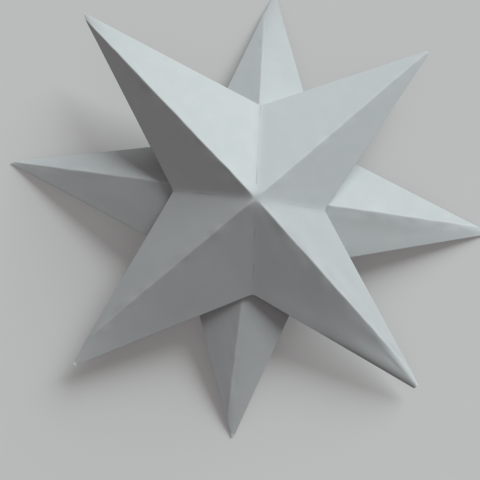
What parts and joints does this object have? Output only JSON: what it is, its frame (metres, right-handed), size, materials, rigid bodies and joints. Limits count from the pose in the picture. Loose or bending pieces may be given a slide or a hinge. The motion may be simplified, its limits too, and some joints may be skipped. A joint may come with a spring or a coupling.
{
  "type": "origami star",
  "caption": "Pointed star folded from square sheets of white paper, with creased hollow points spreading from a raised centre, for hanging up or laying out as a decoration.",
  "frame": {"origin": "middle of the star's base, on the surface that the rear tips rest on", "axes": "+Z out of the star's front, +X towards the longest rear point, +Y towards the rear point that is at the top in the picture"},
  "size_m": [0.2092, 0.1936, 0.0322],
  "materials": {
    "white_paper": "matte"
  },
  "bodies": {
    "root": {"front_star": "white_paper", "rear_star": "white_paper"}
  },
  "joints": []
}
